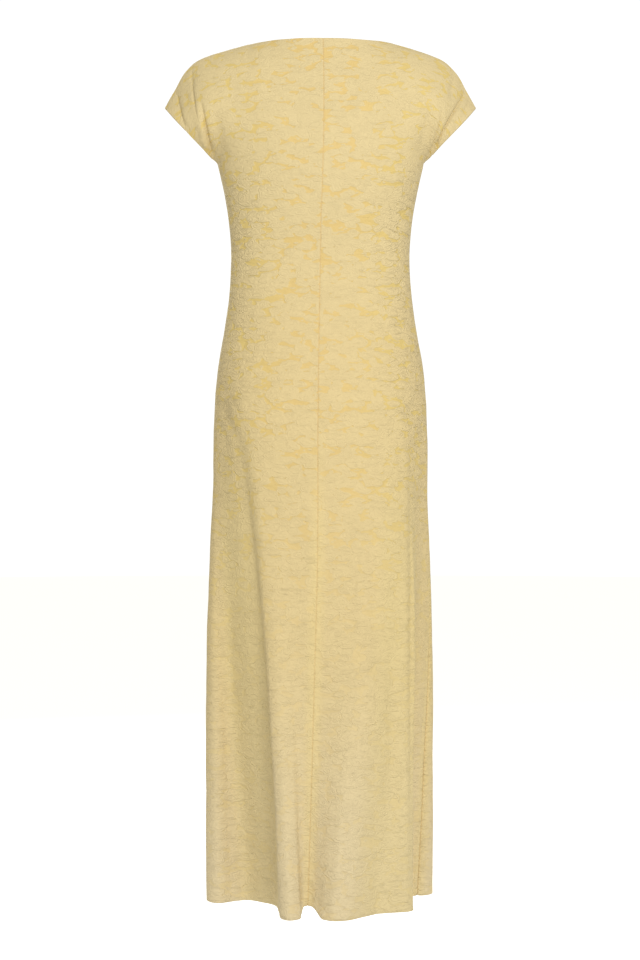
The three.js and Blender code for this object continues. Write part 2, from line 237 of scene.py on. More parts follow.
# Creases, given one by one. Each runs from one place to another as seen from its face, bowed sideways by
# bow.
# It presses the cloth in by depth, or lifts it where depth is negative, over reach to each side.
# A soft crease has a rounded floor, and a sharp one a crisp line.
SOFT, SHARP = 0, 1
CREASE_STEPS = 12
CREASE_MARGIN = 4
CREASE_END = 0.07
CREASE_FADE = 0.8
CREASE_COLUMNS = "face from_x from_z to_x to_z bow depth reach edge"
CREASES = [
    # the left shoulder and sleeve, from behind
    (BACK, 0.1985, -0.0260, 0.1850, -0.1180, 0.004, 0.0036, 0.0022, SHARP),
    (BACK, 0.2020, -0.0330, 0.1920, -0.1150, 0.005, 0.0014, 0.0080),
    (BACK, 0.2220, -0.0620, 0.2030, -0.1350, 0.002, 0.0034, 0.0022, SHARP),
    (BACK, 0.2240, -0.0630, 0.2070, -0.1300, 0.002, 0.0016, 0.0060),
    (BACK, 0.1820, -0.0880, 0.1640, -0.1740, 0.000, 0.0066, 0.0026, SHARP),
    (BACK, 0.1890, -0.0900, 0.1710, -0.1740, 0.000, -0.0030, 0.0060),
    (BACK, 0.1560, -0.1000, 0.1490, -0.1750, 0.003, 0.0024, 0.0100),
    # the right shoulder and sleeve, from behind
    (BACK, -0.2250, -0.0600, -0.1660, -0.1700, 0.000, 0.0074, 0.0024, SHARP),
    (BACK, -0.1850, -0.0980, -0.1640, -0.1700, -0.002, 0.0040, 0.0024, SHARP),
    (BACK, -0.1900, -0.0900, -0.1690, -0.1600, -0.002, -0.0020, 0.0060),
    (BACK, -0.1700, -0.0860, -0.1500, -0.1600, -0.002, 0.0034, 0.0080),
    (BACK, -0.2060, -0.0400, -0.1990, -0.0760, 0.001, 0.0022, 0.0050),
    (BACK, -0.2310, -0.0700, -0.2180, -0.1000, 0.000, 0.0016, 0.0024, SHARP),
    # pulls at the hips and drags at the sides of the waist
    (BACK, 0.1640, -0.536, 0.1270, -0.604, -0.004, 0.0045, 0.008),
    (BACK, 0.1660, -0.560, 0.1400, -0.622, -0.004, 0.0026, 0.007),
    (BACK, 0.1600, -0.512, 0.1240, -0.560, -0.003, 0.0024, 0.008),
    (BACK, 0.1500, -0.542, 0.1370, -0.553, 0.000, 0.0030, 0.0035),
    (BACK, 0.1350, -0.322, 0.0900, -0.335, 0.002, 0.0014, 0.006),
    (BACK, 0.1360, -0.358, 0.0980, -0.350, 0.002, 0.0012, 0.006),
    (BACK, -0.1350, -0.311, -0.0910, -0.329, 0.002, 0.0014, 0.006),
    (BACK, -0.1350, -0.366, -0.1000, -0.356, 0.002, 0.0010, 0.006),
    (BACK, -0.1620, -0.520, -0.1270, -0.575, 0.003, 0.0028, 0.009),
    (BACK, -0.1640, -0.560, -0.1440, -0.640, 0.003, 0.0030, 0.009),
    # long soft folds and creases down the skirt
    (BACK, 0.1230, -0.600, 0.0720, -1.400, -0.007, 0.0080, 0.011),
    (BACK, 0.1130, -0.680, 0.0690, -1.330, -0.006, 0.0026, 0.005),
    (BACK, 0.1520, -0.640, 0.1570, -1.380, 0.000, -0.0040, 0.018),
    (BACK, -0.1410, -0.560, -0.1395, -1.300, 0.000, 0.0076, 0.0080),
    (BACK, -0.0790, -0.690, -0.0790, -0.960, 0.000, 0.0026, 0.010),
    (BACK, -0.1060, -0.960, -0.1070, -1.220, 0.000, 0.0024, 0.009),
    (BACK, -0.0840, -1.220, -0.0840, -1.330, 0.000, 0.0016, 0.004),
    (BACK, -0.0450, -0.800, -0.0530, -1.140, 0.003, 0.0018, 0.012),
    (BACK, 0.1350, -0.820, 0.1400, -1.180, 0.003, 0.0020, 0.012),
    # the front, hidden in the photograph: the same kinds of creases, none alike
    (FRONT, 0.1880, -0.052, 0.1640, -0.150, -0.006, 0.0058, 0.009),
    (FRONT, 0.2140, -0.066, 0.1900, -0.134, -0.005, 0.0034, 0.007),
    (FRONT, 0.1600, -0.110, 0.1380, -0.205, -0.004, 0.0030, 0.010),
    (FRONT, -0.2050, -0.060, -0.1650, -0.156, 0.007, 0.0056, 0.008),
    (FRONT, -0.1830, -0.090, -0.1580, -0.150, 0.004, 0.0034, 0.008),
    (FRONT, -0.1480, -0.120, -0.1240, -0.200, 0.004, 0.0024, 0.010),
    (FRONT, 0.1340, -0.300, 0.0860, -0.322, 0.002, 0.0016, 0.007),
    (FRONT, 0.1350, -0.345, 0.0950, -0.338, 0.002, 0.0012, 0.006),
    (FRONT, -0.1340, -0.318, -0.0800, -0.334, 0.003, 0.0015, 0.007),
    (FRONT, -0.1350, -0.350, -0.1040, -0.340, 0.002, 0.0012, 0.006),
    (FRONT, 0.1600, -0.520, 0.1200, -0.590, 0.004, 0.0030, 0.009),
    (FRONT, -0.1610, -0.540, -0.1230, -0.620, 0.004, 0.0034, 0.009),
    (FRONT, -0.1620, -0.580, -0.1420, -0.650, 0.003, 0.0022, 0.008),
    (FRONT, 0.0880, -0.700, 0.0930, -1.306, -0.002, 0.0024, 0.008),
    (FRONT, -0.0330, -0.720, -0.0370, -1.306, 0.003, 0.0024, 0.008),
    (FRONT, -0.1120, -0.800, -0.1190, -1.250, 0.003, 0.0022, 0.008),
    (FRONT, 0.0320, -0.900, 0.0400, -1.220, -0.004, 0.0016, 0.011),
]


class Half:
    """One half of the back or of the front, with the fold lines of its skirt."""

    def __init__(self, side, face, folds):
        self.side = side
        self.face = face
        self.folds = folds
        self.name = "back" if face == BACK else "front"

    def form(self, share, z):
        """The smooth body form at each height, before any fold."""
        angle = share * math.pi / 2
        full = 1 + FULLNESS * np.sin(2 * angle) ** 2
        stray = SECTIONS.follow("seam_x", z) * (1 - share) ** 2 if self.face == BACK else 0
        x = self.side * SECTIONS.follow("half_width", z) * np.sin(angle) * full + stray
        y = self.face * SECTIONS.follow(self.name, z) * np.cos(angle) * full
        return x, y

    def level(self, share, z):
        """The body and skirt: the form, drawn towards the hem's fold lines as it falls."""
        x, y = self.form(share, z)
        start = self.folds.follow("start", share)
        fallen = np.clip((start - z) / (start - HEM_Z), 0, 1) ** FOLD_GROWTH
        hem_x, hem_y = self.form(share, np.full_like(z, HEM_Z))
        x = x + fallen * (self.folds.follow("x", share) - hem_x)
        y = y + fallen * (self.folds.follow("y", share) - hem_y)
        return x, y, z + 0 * x

    def top(self, share):
        """The neckline, then the shoulder seam and the top of the sleeve."""
        on_neck = share < NECK_SHARE
        stray = SECTIONS.follow("seam_x", UNDERARM_Z) * (1 - share) ** 2 if self.face == BACK else 0
        neck_x = self.side * NECK.follow("x", share) + stray
        x = np.where(on_neck, neck_x, self.side * SHOULDER.follow("x", share))
        y = np.where(on_neck, self.face * NECK.follow(self.name, share), 0)
        z = np.where(on_neck, NECK.follow(self.name + "_z", share), SHOULDER.follow("z", share))
        return x, y, z

    def yoke(self, share, turn):
        """The yoke and sleeve: turn runs from 0 at the underarm level to 1 at the top edge."""
        w = (1 - np.cos(np.pi * turn)) / 2
        hump = 4 * w * (1 - w)
        low_x, low_y, low_z = self.level(share, np.full_like(share, UNDERARM_Z))
        below_x, below_y, _ = self.level(share, np.full_like(share, UNDERARM_Z - TANGENT_STEP))
        high_x, high_y, high_z = self.top(share)
        straight = share ** STRAIGHT_NEAR_SIDE
        lean_x = (low_x - below_x) / TANGENT_STEP
        lean_y = (low_y - below_y) / TANGENT_STEP
        bend_x = mix(low_x + lean_x * (high_z - low_z) / 2, (low_x + high_x) / 2, straight)
        drop = (BACK_SLEEVE_DROP if self.face == BACK else FRONT_SLEEVE_DROP) * straight * hump
        x = (1 - w) ** 2 * low_x + 2 * w * (1 - w) * bend_x + w ** 2 * high_x
        x = x + self.side * drop * math.sqrt(0.5)
        z = mix(low_z, high_z, w) - drop * math.sqrt(0.5)
        on_shoulder = smooth_step(share, *SHOULDER_BEGINS)
        carried = (1 - w ** mix(*LEAVES_CHEST, on_shoulder)) ** mix(*CHEST_ROUNDING, on_shoulder)
        sleeve = smooth_step(share, *SLEEVE_BEGINS) * hump ** mix(*SLEEVE_ROUNDING, straight)
        y_from_low = low_y + lean_y * (z - low_z) * (1 - w)
        y = mix(high_y, y_from_low, carried) + self.face * SLEEVE_DEPTH * sleeve
        return x, y, z

    def surface(self, shares):
        """Points of the outer surface as an array of rows up from the hem, columns and coordinates."""
        share = shares[None, :]
        skirt_z = HEM_Z + (HIP_Z - HEM_Z) * np.arange(SKIRT_ROWS) / SKIRT_ROWS
        bodice_z = HIP_Z + (UNDERARM_Z - HIP_Z) * np.arange(BODICE_ROWS) / BODICE_ROWS
        z = np.concatenate((skirt_z, bodice_z))[:, None] + 0 * share
        turn = np.arange(YOKE_ROWS + 1) / YOKE_ROWS
        turn = (turn + YOKE_CROWDING * np.sin(2 * np.pi * turn) / (2 * np.pi))[:, None] + 0 * share
        x, y, z = self.level(share + 0 * z, z)
        if self.face == BACK:
            z = z + hem_rise(share) * np.clip((HIP_Z - z) / (HIP_Z - HEM_Z), 0, 1) ** 2
        low = np.stack((x, y, z), axis=-1)
        high = np.stack(self.yoke(share + 0 * turn, turn), axis=-1)
        return np.concatenate((low, high))


def hem_rise(share):
    """The back's hem is drawn up a little along the centre seam."""
    return CENTRE_RISE * (1 - smooth_step(share, *RISE_ENDS))


def mix(a, b, t):
    return a + (b - a) * t


def smooth_step(value, low, high):
    t = np.clip((value - low) / (high - low), 0, 1)
    return t * t * (3 - 2 * t)


def shares_across(neck_columns, shoulder_columns, sleeve_columns):
    """Column places from the centre line to the side, closer on the sleeve and beside the seams."""
    neck = np.linspace(0, NECK_SHARE, neck_columns, endpoint=False)
    shoulder = np.linspace(NECK_SHARE, SLEEVE_SHARE, shoulder_columns, endpoint=False)
    sleeve = np.linspace(SLEEVE_SHARE, 1, sleeve_columns, endpoint=False)
    seams = np.array(SEAM_SHARES)
    inner = np.concatenate((neck, shoulder, sleeve))
    inner = inner[(inner > SEAM_CLEARANCE) & (inner < 1 - SEAM_CLEARANCE)]
    return np.concatenate(([0], seams, inner, 1 - seams[::-1], [1]))


def run_lengths(points, axis):
    """Length along the rows or columns of a grid, from its first line."""
    step = np.linalg.norm(np.diff(points, axis=axis), axis=-1)
    zero = np.zeros_like(np.take(step, [0], axis=axis))
    return np.concatenate((zero, np.cumsum(step, axis=axis)), axis=axis)


def unit(vectors):
    return vectors / np.maximum(np.linalg.norm(vectors, axis=-1, keepdims=True), TINY ** 2)


def outward(points):
    """Unit directions out of a grid's surface."""
    return unit(np.cross(np.gradient(points, axis=0), np.gradient(points, axis=1)))


def crease_path(crease):
    """Places along a crease, as seen from its face, and how far along it each one is."""
    start = np.array((crease["from_x"], crease["from_z"]))
    end = np.array((crease["to_x"], crease["to_z"]))
    sideways = np.array((start[1] - end[1], end[0] - start[0])) / np.linalg.norm(end - start)
    middle = (start + end) / 2 + 2 * crease["bow"] * sideways
    t = np.linspace(0, 1, CREASE_STEPS + 1)[:, None]
    return (1 - t) ** 2 * start + 2 * t * (1 - t) * middle + t ** 2 * end


def from_path(places, path):
    """How far each place lies from a path, and how far along the path its nearest point is."""
    nearest = np.full(len(places), np.inf)
    along = np.zeros(len(places))
    for i in range(len(path) - 1):
        run = path[i + 1] - path[i]
        t = np.clip(((places - path[i]) @ run) / (run @ run), 0, 1)
        away = np.linalg.norm(places - path[i] - t[:, None] * run, axis=1)
        closer = away < nearest
        nearest[closer] = away[closer]
        along[closer] = (i + t[closer]) / (len(path) - 1)
    return nearest, along


def crease_depth(points, face):
    """How far the hand-drawn creases press the cloth in at each point of a grid."""
    depth = np.zeros(points.shape[:2])
    places = points[..., [0, 2]]
    for row in CREASES:
        crease = dict(zip(CREASE_COLUMNS.split(), (*row, SOFT)))
        if crease["face"] != face:
            continue
        path = crease_path(crease)
        margin = CREASE_MARGIN * crease["reach"]
        near = ((places > path.min(axis=0) - margin) & (places < path.max(axis=0) + margin)).all(axis=-1)
        away, along = from_path(places[near], path)
        fade = np.sin(np.pi * mix(CREASE_END, 1 - CREASE_END, along)) ** CREASE_FADE
        across = away / crease["reach"]
        profile = np.exp(-across) if crease["edge"] == SHARP else np.exp(-across ** 2)
        depth[near] += crease["depth"] * fade * profile
    return depth


# Soft unevenness of worn jersey: lengths and heights of waves that cross all the pieces. They run a little
# longer up and down than across.
WAVES = ((0.085, 0.0011), (0.034, 0.00045), (0.016, 0.0002))
WAVE_SHAPE = (1.0, 1.0, 0.75)


def unevenness(points):
    lift = np.zeros(points.shape[:2])
    flat = points.reshape(-1, 3)
    for length, height in WAVES:
        stretch = np.array(WAVE_SHAPE) / length
        values = [noise.noise(Vector(p)) for p in flat * stretch]
        lift += height * np.array(values).reshape(lift.shape)
    return lift


class Cloth:
    """A cut piece as a grid of points with its lengths, its seams and its free edges."""

    def __init__(self, halves, columns, cut_offset):
        shares = shares_across(*columns)
        grids = [half.surface(shares) for half in halves]
        widths = [half.side * run_lengths(grid, 1) for half, grid in zip(halves, grids)]
        # The columns run so that up and across give the outside of every piece on the same hand.
        if len(halves) == 2:
            self.points = np.concatenate((grids[0][:, ::-1], grids[1][:, 1:]), axis=1)
            self.across = np.concatenate((widths[0][:, ::-1], widths[1][:, 1:]), axis=1)
            self.shares = np.concatenate((shares[::-1], shares[1:]))
        else:
            order = slice(None, None, halves[0].side)
            self.points = grids[0][:, order]
            self.across = widths[0][:, order]
            self.shares = shares[order]
        self.face = halves[0].face
        self.centre_seam = len(halves) == 1
        up = run_lengths(self.points, 0)
        self.up = up - up[UNDERARM_ROW]
        self.uv = np.stack((self.across + cut_offset, self.up), axis=-1)
        self.out = outward(self.points)
        self.to_seam = self.seam_distance()
        self.to_edge = self.edge_distance()

    def rows(self):
        """The number of each row, as a column."""
        return np.arange(len(self.points))[:, None]

    def from_sides(self):
        """Distances across the cloth from each border that is a side seam and a sleeve hem."""
        width = run_lengths(self.points, 1)
        borders = ((self.shares[0], width), (self.shares[-1], width[:, -1:] - width))
        return [across for share, across in borders if share == 1]

    def seam_distance(self):
        """How far each point lies from the nearest seam, along the cloth."""
        down = run_lengths(self.points[::-1], 0)[::-1]
        nearest = np.where(self.shares[None, :] >= NECK_SHARE - TINY, down, FAR)
        for side in self.from_sides():
            along = np.where(self.rows() <= UNDERARM_ROW, side, np.hypot(side, self.up))
            nearest = np.minimum(nearest, along)
        if self.centre_seam:
            nearest = np.minimum(nearest, np.abs(self.across))
        return nearest

    def edge_distance(self):
        """How many widths of a turned edge each point lies from the hem, neckline or sleeve hem."""
        down = run_lengths(self.points[::-1], 0)[::-1]
        neck = np.where(self.shares[None, :] <= NECK_SHARE + TINY, down / TURNED_EDGE, FAR)
        nearest = np.minimum(run_lengths(self.points, 0) / TURNED_HEM, neck)
        for side in self.from_sides():
            nearest = np.minimum(nearest, np.where(self.rows() >= UNDERARM_ROW, side / TURNED_EDGE, FAR))
        return nearest

    def wrinkle(self):
        """Adds the creases, the seams' grooves and the cloth's unevenness to the outer surface."""
        away_from_seams = 1 - np.exp(-(self.to_seam / SEAM_HOLD) ** 2)
        # The turned sleeve hem holds the cloth flatter at its edge.
        from_hem = mix(SLEEVE_HEM_SHARE, 1, smooth_step(self.to_edge, 0, SLEEVE_HEM_REACH))
        held = np.where(self.rows() > UNDERARM_ROW, from_hem, 1)
        drawn = crease_depth(self.points, self.face) * away_from_seams * held
        groove = GROOVE_DEPTH * np.exp(-(self.to_seam / GROOVE_REACH) ** 2)
        at_side = smooth_step(self.shares[None, :], *SIDE_GROOVE_SHARES)
        fallen = smooth_step(self.up, *SKIRT_BEGINS) * at_side
        groove = groove + SIDE_GROOVE_DEPTH * fallen * np.exp(-(self.to_seam / SIDE_GROOVE_REACH) ** 2)
        lift = unevenness(self.points) - drawn - groove
        self.points = self.points + self.out * lift[..., None]


def join(first, first_place, second, second_place):
    """Gives both sides of a seam the same outward directions."""
    both = unit(first.out[first_place] + second.out[second_place])
    first.out[first_place] = both
    second.out[second_place] = both


def join_along_top(back, front, front_columns):
    """The same for the shoulder and sleeve seam, whose columns differ between the back and the front."""
    on_seam = back.shares >= NECK_SHARE - TINY
    order = np.argsort(front.shares[front_columns])
    front_shares = front.shares[front_columns][order]
    front_out = front.out[-1, front_columns][order]
    matched = [np.interp(back.shares, front_shares, front_out[:, k]) for k in range(3)]
    both = unit(back.out[-1] + np.stack(matched, axis=-1))
    back.out[-1, on_seam] = both[on_seam]
    order = np.argsort(back.shares)
    places = np.arange(len(front.shares))[front_columns]
    back_shares, ordered = back.shares[order], both[order]
    returned = [np.interp(front.shares[places], back_shares, ordered[:, k]) for k in range(3)]
    places_on_seam = front.shares[places] >= NECK_SHARE - TINY
    front.out[-1, places[places_on_seam]] = unit(np.stack(returned, axis=-1))[places_on_seam]


def join_seams(left, right, front):
    """Both sides of each seam move together when the cloth is wrinkled."""
    below_sleeve = slice(0, UNDERARM_ROW + 1)
    middle = len(front.shares) // 2
    join(left, (slice(None), 0), right, (slice(None), -1))
    join(left, (below_sleeve, -1), front, (below_sleeve, 0))
    join(right, (below_sleeve, 0), front, (below_sleeve, -1))
    join_along_top(left, front, slice(0, middle + 1))
    join_along_top(right, front, slice(middle, None))


def wall_mesh(name, cloth):
    """The closed wall of a piece of cloth, a little thicker at its turned edges, with rounded rims."""
    outer = cloth.points
    out = outward(outer)
    thickness = CLOTH + (TURNED_CLOTH - CLOTH) * (1 - smooth_step(cloth.to_edge, *TURNED_STEP))
    inner = outer - out * thickness[..., None]
    cloth.inner = inner
    rows, columns = outer.shape[:2]
    layer = rows * columns
    index = np.arange(layer).reshape(rows, columns)
    corners_of_quads = (index[:-1, :-1], index[1:, :-1], index[1:, 1:], index[:-1, 1:])
    quads = np.stack(corners_of_quads, axis=-1).reshape(-1, 4)
    border = np.concatenate((index[0, :-1], index[:-1, -1], index[-1, :0:-1], index[:0:-1, 0]))
    inward = np.concatenate((index[1, :-1], index[:-1, -2], index[-2, :0:-1], index[:0:-1, 1]))
    flat_outer, flat_inner = outer.reshape(-1, 3), inner.reshape(-1, 3)
    past = unit(flat_outer[border] - flat_outer[inward])
    free = (cloth.to_seam.reshape(-1)[border] > FREE_RIM)[:, None]
    middle = (flat_outer[border] + flat_inner[border]) / 2
    middle = middle + free * past * thickness.reshape(-1)[border][:, None] / 2
    points = np.concatenate((flat_outer, flat_inner, middle))
    ring = 2 * layer + np.arange(len(border))
    following = np.roll(border, -1)
    ring_following = np.roll(ring, -1)
    rim_outer = np.stack((border, following, ring_following, ring), axis=-1)
    rim_inner = np.stack((ring, ring_following, following + layer, border + layer), axis=-1)
    faces = np.concatenate((quads, quads[:, ::-1] + layer, rim_outer, rim_inner))
    mesh = bpy.data.meshes.new(name)
    mesh.from_pydata(points.tolist(), [], faces.tolist())
    mesh.shade_smooth()
    uv = cloth.uv.reshape(-1, 2)
    point_uv = np.concatenate((uv, uv, uv[border]))
    layer_uv = mesh.uv_layers.new(name="cut")
    corners = np.zeros(len(mesh.loops), int)
    mesh.loops.foreach_get("vertex_index", corners)
    layer_uv.data.foreach_set("uv", point_uv[corners].astype(np.float32).reshape(-1))
    seam = cloth.to_seam.reshape(-1)
    side = (cloth.shares + 0 * cloth.to_seam).reshape(-1)
    marks = {
        "seam": np.concatenate((seam, seam, seam[border])),
        "side": np.concatenate((side, side, side[border])),
        "inside": np.concatenate((0 * seam, 0 * seam + 1, 0 * seam[border] + 0.5)),
    }
    for label, values in marks.items():
        attribute = mesh.attributes.new(label, "FLOAT", "POINT")
        attribute.data.foreach_set("value", values.astype(np.float32))
    piece = bpy.data.objects.new(name, mesh)
    scene.collection.objects.link(piece)
    return piece


class Tree:
    """Shorthand for building a node tree: each call adds a node, sets its inputs and returns it."""

    def __init__(self, tree):
        self.tree = tree

    def add(self, kind, inputs=(), **settings):
        node = self.tree.nodes.new(kind)
        for key, value in settings.items():
            setattr(node, key, value)
        for key, value in dict(inputs).items():
            if isinstance(value, bpy.types.NodeSocket):
                self.tree.links.new(value, node.inputs[key])
            else:
                node.inputs[key].default_value = value
        return node

    def math(self, operation, *values):
        return self.add("ShaderNodeMath", dict(enumerate(values)), operation=operation).outputs[0]

    def vector(self, operation, *values):
        return self.add("ShaderNodeVectorMath", dict(enumerate(values)), operation=operation).outputs[0]

    def noise(self, place, scale, detail, roughness):
        inputs = {"Vector": place, "Scale": scale, "Detail": detail, "Roughness": roughness}
        return self.add("ShaderNodeTexNoise", inputs, noise_dimensions="2D")

    def grain(self, cut, scale, detail, roughness):
        """Noise on the cut cloth, with its scale given for each way of the cloth."""
        return self.noise(self.vector("MULTIPLY", cut, scale), 1.0, detail, roughness).outputs["Fac"]

    def cells(self, place, scale, randomness, feature):
        inputs = {"Vector": place, "Scale": scale, "Randomness": randomness}
        settings = {"voronoi_dimensions": "2D", "feature": feature}
        return self.add("ShaderNodeTexVoronoi", inputs, **settings).outputs["Distance"]

    def ramp(self, value, low, high, to_low=0.0, to_high=1.0):
        inputs = {"Value": value, "From Min": low, "From Max": high, "To Min": to_low, "To Max": to_high}
        return self.add("ShaderNodeMapRange", inputs, interpolation_type="SMOOTHSTEP").outputs["Result"]

    def blend(self, amount, a, b):
        node = self.add("ShaderNodeMix", data_type="RGBA")
        for socket, value in ((node.inputs[0], amount), (node.inputs[6], a), (node.inputs[7], b)):
            if isinstance(value, bpy.types.NodeSocket):
                self.tree.links.new(value, socket)
            else:
                socket.default_value = value
        return node.outputs[2]


def node_group(name, kind, inputs, outputs):
    """A new node group whose sockets are given by their names and kinds."""
    group = bpy.data.node_groups.new(name, kind)
    for in_out, sockets in (("INPUT", inputs), ("OUTPUT", outputs)):
        for label, socket in sockets.items():
            group.interface.new_socket(label, in_out=in_out, socket_type="NodeSocket" + socket)
    return group


# The jacquard's petals on the cut cloth, and how far each strays from an even layout, in petals.
PETAL_WIDTH = 0.0210
PETAL_HEIGHT = 0.0115
STRAY = (1.3, 1.0, 0)
STRAY_SCALE = 0.45
RANDOMNESS = 0.9

# Smaller petals lie between the wide ones: how many times as close, and their size and reach.
SMALL_SCALE = 1.7
SMALL_RANDOMNESS = 0.95
SMALL_SIZE = 0.6
SMALL_REACH = 0.34

# Petals draw in where clusters are strong, and the ground shows between them. The pairs are the clusters'
# strength and the reach of a petal there, and then the soft edges of the ground and of the outlines.
CLUSTERS = (21, 40, 0)
CLUSTER_STRENGTH = (0.38, 0.60)
PETAL_REACH = (0.70, 0.44)
GROUND_EDGE = (-0.02, 0.05)
OUTLINE_EDGE = (0.075, 0.0)

# The relief of the petals, in millimetres: domed, ribbed round their middles, stroked across, and sunk
# along their outlines and in the ground.
DOME_HEIGHT = 0.7
DOME_FALL = -1.6
RIB_HEIGHT = 0.24
RIBS = 24.0
RIB_WANDER = 30.0
STROKE_HEIGHT = 0.38
STROKES = (75, 230, 0)
STROKE_STRAY = (0, 0.012, 0)
OUTLINE_HEIGHT = -0.18
GROUND_HEIGHT = -0.2


def jacquard_group():
    """Rounded petals raised from a golden ground. They lie wide and close, and carry fine ribs."""
    sockets = {"Cut": "Vector", "Petal Width": "Float", "Petal Height": "Float"}
    group = node_group("jacquard", "ShaderNodeTree", sockets, {"Ground": "Float", "Relief": "Float"})
    t = Tree(group)
    inputs = t.add("NodeGroupInput").outputs
    cut = inputs["Cut"]
    petal_size = {0: inputs["Petal Width"], 1: inputs["Petal Height"], 2: 1.0}
    place = t.vector("DIVIDE", cut, t.add("ShaderNodeCombineXYZ", petal_size).outputs[0])
    wander = t.noise(place, STRAY_SCALE, 2.0, 0.55).outputs["Color"]
    shifted = t.vector("SUBTRACT", wander, (0.5, 0.5, 0.5))
    bent = t.vector("ADD", place, t.vector("MULTIPLY", shifted, STRAY))
    wide = t.cells(bent, 1.0, RANDOMNESS, "F1")
    small = t.cells(bent, SMALL_SCALE, SMALL_RANDOMNESS, "F1")
    from_middle = t.math("MINIMUM", wide, t.math("MULTIPLY_ADD", small, SMALL_SIZE, SMALL_REACH))
    clusters = t.grain(cut, CLUSTERS, 3.0, 0.6)
    limit = t.ramp(clusters, *CLUSTER_STRENGTH, *PETAL_REACH)
    ground = t.ramp(t.math("SUBTRACT", from_middle, limit), *GROUND_EDGE)
    outline = t.ramp(t.cells(bent, 1.0, RANDOMNESS, "DISTANCE_TO_EDGE"), *OUTLINE_EDGE)
    dome = t.math("MULTIPLY_ADD", t.math("MULTIPLY", from_middle, from_middle), DOME_FALL, 1.0)
    rounds = t.math("MULTIPLY_ADD", from_middle, RIBS, t.math("MULTIPLY", clusters, RIB_WANDER))
    ribs = t.math("MULTIPLY", t.math("SINE", rounds), t.math("SUBTRACT", 1.0, ground))
    stroked = t.vector("ADD", cut, t.vector("MULTIPLY", shifted, STROKE_STRAY))
    strokes = t.grain(stroked, STROKES, 2.0, 0.6)
    relief = t.math("MULTIPLY_ADD", ribs, RIB_HEIGHT, t.math("MULTIPLY", strokes, STROKE_HEIGHT))
    for form, height in ((dome, DOME_HEIGHT), (outline, OUTLINE_HEIGHT), (ground, GROUND_HEIGHT)):
        relief = t.math("MULTIPLY_ADD", form, height, relief)
    t.add("NodeGroupOutput", {"Ground": ground, "Relief": relief})
    return group


# The knit's scales across and up the cloth, and the share of each in the ripple.
COURSES = (160, 760, 0)
CREPE = (330, 420, 0)
MOTTLE = (26, 34, 0)
COURSE_SHARE = 0.6
CREPE_SHARE = 0.4


def knit_group():
    """The fine cross ripple of the jersey and its faint mottling."""
    outputs = {"Ripple": "Float", "Mottle": "Float"}
    group = node_group("knit", "ShaderNodeTree", {"Cut": "Vector"}, outputs)
    t = Tree(group)
    cut = t.add("NodeGroupInput").outputs["Cut"]
    courses = t.grain(cut, COURSES, 2.0, 0.6)
    crepe = t.math("MULTIPLY", t.grain(cut, CREPE, 2.0, 0.55), CREPE_SHARE)
    ripple = t.math("MULTIPLY_ADD", courses, COURSE_SHARE, crepe)
    t.add("NodeGroupOutput", {"Ripple": ripple, "Mottle": t.grain(cut, MOTTLE, 3.0, 0.5)})
    return group


# Colours of the jersey: the raised petals, the golden ground between them, and the cloth at the seams, with
# a painted warm shade for the skirt's folds and a painted light beside the skirt's seams.
MOTIF_COLOUR = (0.600, 0.484, 0.256, 1)
HIP_MOTIF_COLOUR = (0.604, 0.479, 0.245, 1)
HEM_MOTIF_COLOUR = (0.625, 0.515, 0.310, 1)
# Painted shade: a warmer, more saturated petal colour for the skirt's folds, standing in for light bounced
# inside their shade.
FOLD_PAINTED_SHADE_COLOUR = (0.620, 0.503, 0.240, 1)
GROUND_COLOUR = (0.60, 0.438, 0.170, 1)
SIDE_GROUND_COLOUR = (0.595, 0.452, 0.162, 1)
SEAM_COLOUR = (0.60, 0.40, 0.16, 1)
# Painted light: a lighter gold blended in beside the skirt's seams, where the valleys along them lie in
# shade.
SEAM_PAINTED_LIGHT_COLOUR = (0.675, 0.535, 0.245, 1)

# Heights along the cloth between which the colours and the relief change, from the underarm.
HIP_COLOUR_BEGINS = (-0.05, -0.35)
HEM_COLOUR_BEGINS = (-0.70, -1.10)
GOLD_RETURNS = (-0.80, -0.40)
BODICE_BEGINS = (0.02, -0.08)
HIPS_END = (-0.70, -0.35)
SKIRT_RELIEF_BEGINS = (-0.45, -0.80)

# Shares of a piece, from its centre line to its side, between which they change.
SIDE_GROUND_BEGINS = (0.1, 0.6)
# The zone of the painted warm shade in the skirt's folds.
FOLD_BEGINS = (0.30, 0.45)
FOLD_ENDS = (0.80, 0.68)
LOOSE_BEGINS = (0.2, 0.7)
SIDE_PUCKER_BEGINS = (0.93, 1.0)

# Distances from a seam over which its marks grow: the dark seam line, the painted light beside it, and the
# puckers.
LINE_REACH = (0.0016, 0.0004)
SEAM_PAINTED_LIGHT_REACH = (0.018, 0.001)
PUCKER_REACH = (0.010, 0.001)

# Strengths of these changes. The two of a pair go with the first and the second end of its zone.
GOLD_KEPT = (0.25, 1.0)
# How strongly the painted warm shade is blended into the skirt's folds.
FOLD_PAINTED_SHADE = (0.0, 0.5)
# How strongly the painted light is blended in beside the skirt's seams.
SEAM_PAINTED_LIGHT = (0.0, 0.5)
SEAM_LINE = (0.45, 0.32)
KNIT_RANGE = (0.3, 0.7)
RIPPLE_SHADE = (0.975, 1.015)
MOTTLE_SHADE = (0.985, 1.01)
PETAL_ROUGHNESS = (0.78, 0.6)

# Heights of the relief, in millimetres, and how much of the petals' own relief stands out.
MILLIMETRE = 0.001
RIPPLE_HEIGHT = 0.14
PUCKERS = (60, 150, 0)
PUCKER_HEIGHT = 0.8
SIDE_PUCKER_HEIGHT = (0.0, 2.4)
PETALS_RAISED = (0.75, 1.0)
LOOSE_RAISED = 0.7
INSIDE_RAISED = (1.0, 0.4)


